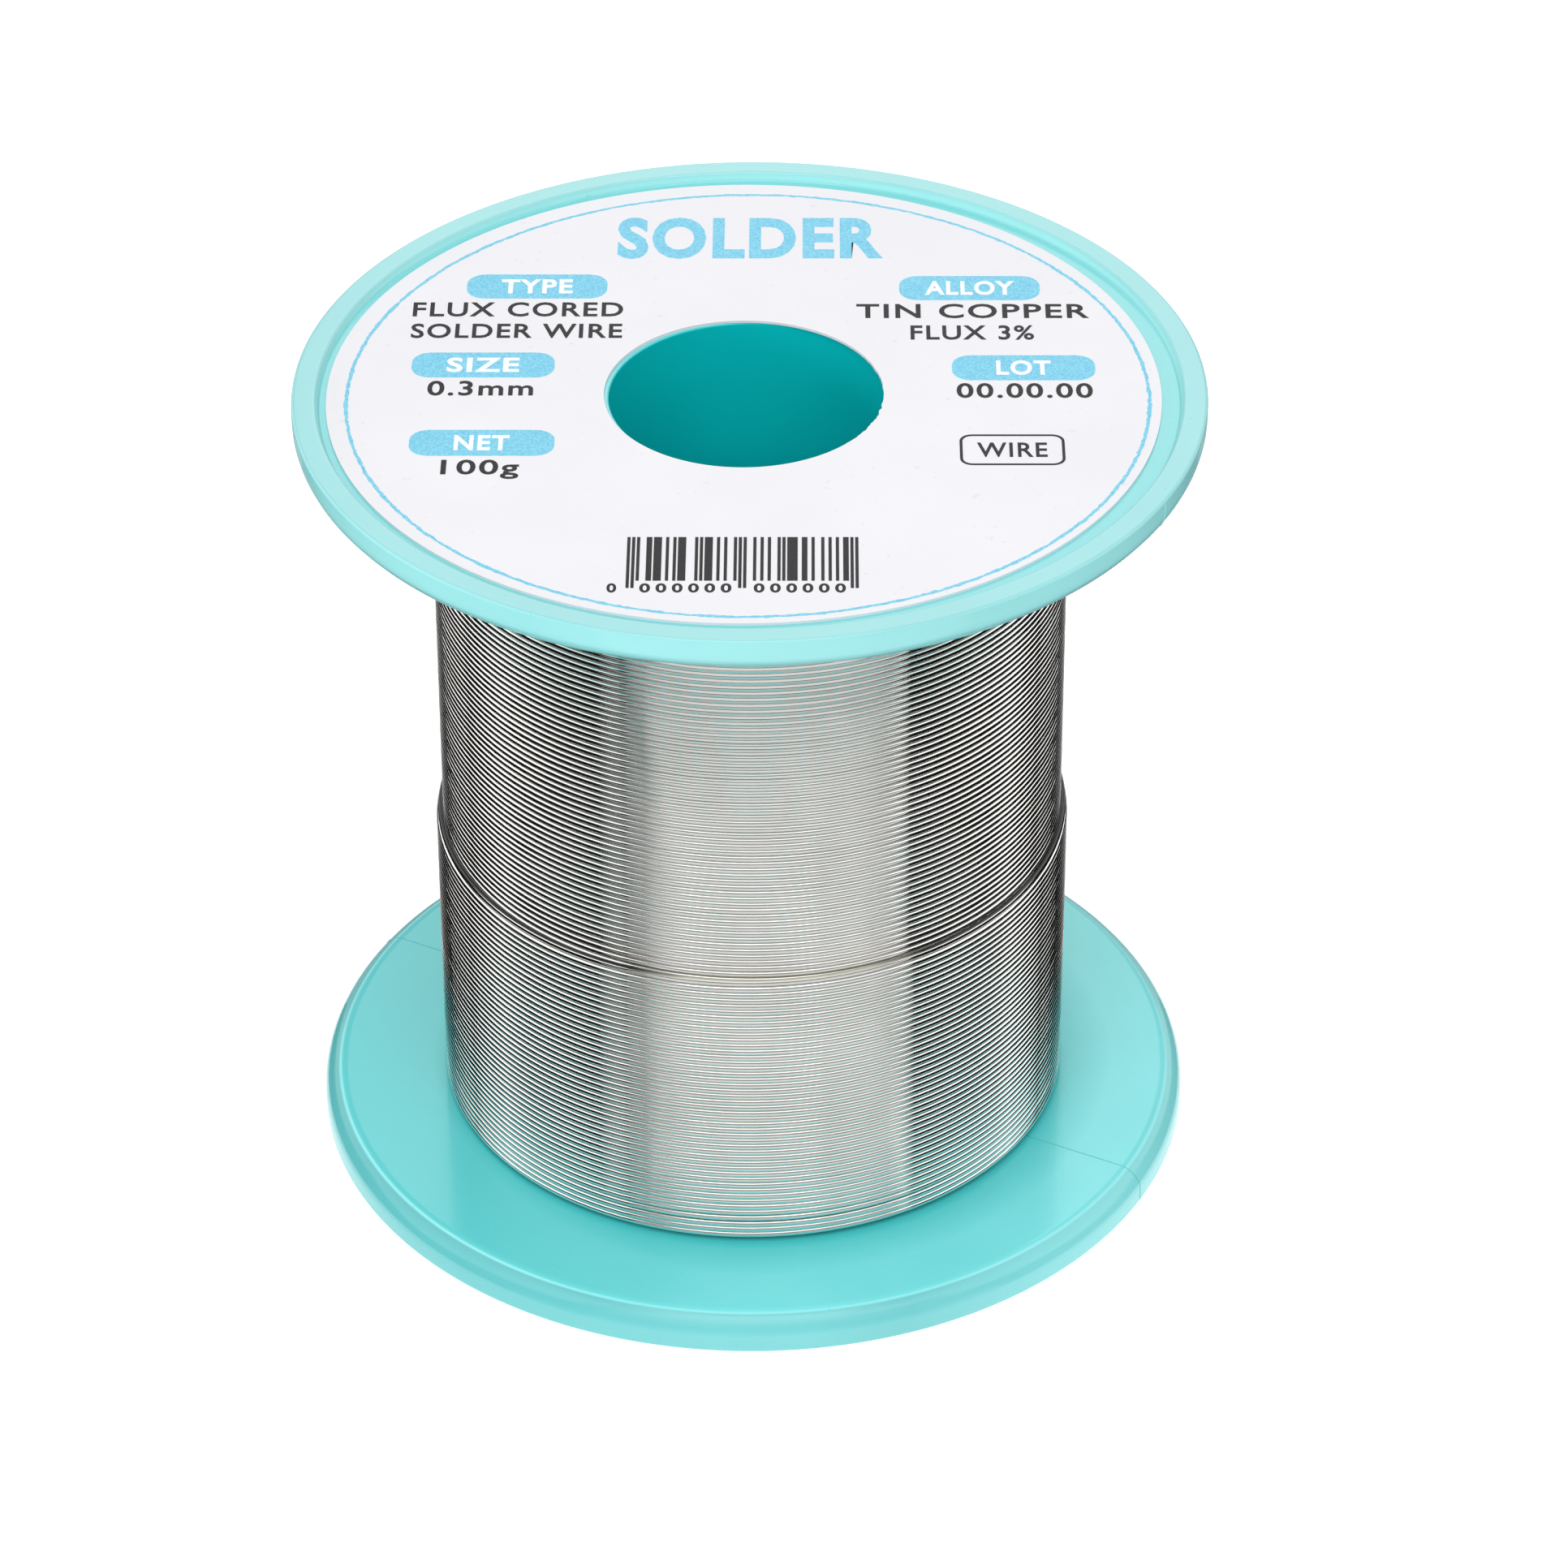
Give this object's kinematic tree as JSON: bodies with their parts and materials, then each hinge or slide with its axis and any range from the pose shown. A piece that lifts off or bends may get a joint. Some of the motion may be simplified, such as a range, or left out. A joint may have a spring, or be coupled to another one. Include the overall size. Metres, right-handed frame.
{
  "type": "solder wire spool",
  "caption": "Small flanged plastic spool wound with fine flux-cored solder wire, with a through bore for a spindle and a round paper label.",
  "frame": {"origin": "centre of the lower rim, on the surface that the spool stands on", "axes": "+Z along the spool's axis, towards the labelled flange; +Y away from the side that the label is read from"},
  "size_m": [0.041, 0.041, 0.0389],
  "materials": {
    "spool_plastic": "semi-gloss moulded",
    "label_paper": "coated paper",
    "solder_alloy": "bright drawn tin alloy",
    "flux": "clear amber rosin"
  },
  "bodies": {
    "root": {"lower_flange": "spool_plastic", "upper_flange": "spool_plastic", "barrel": "spool_plastic", "label": "label_paper", "inner_winding": "solder_alloy", "full_wire_layer": "solder_alloy", "outer_wire_layer": "solder_alloy", "last_turn_alloy": "solder_alloy", "last_turn_flux": "flux"}
  },
  "joints": []
}
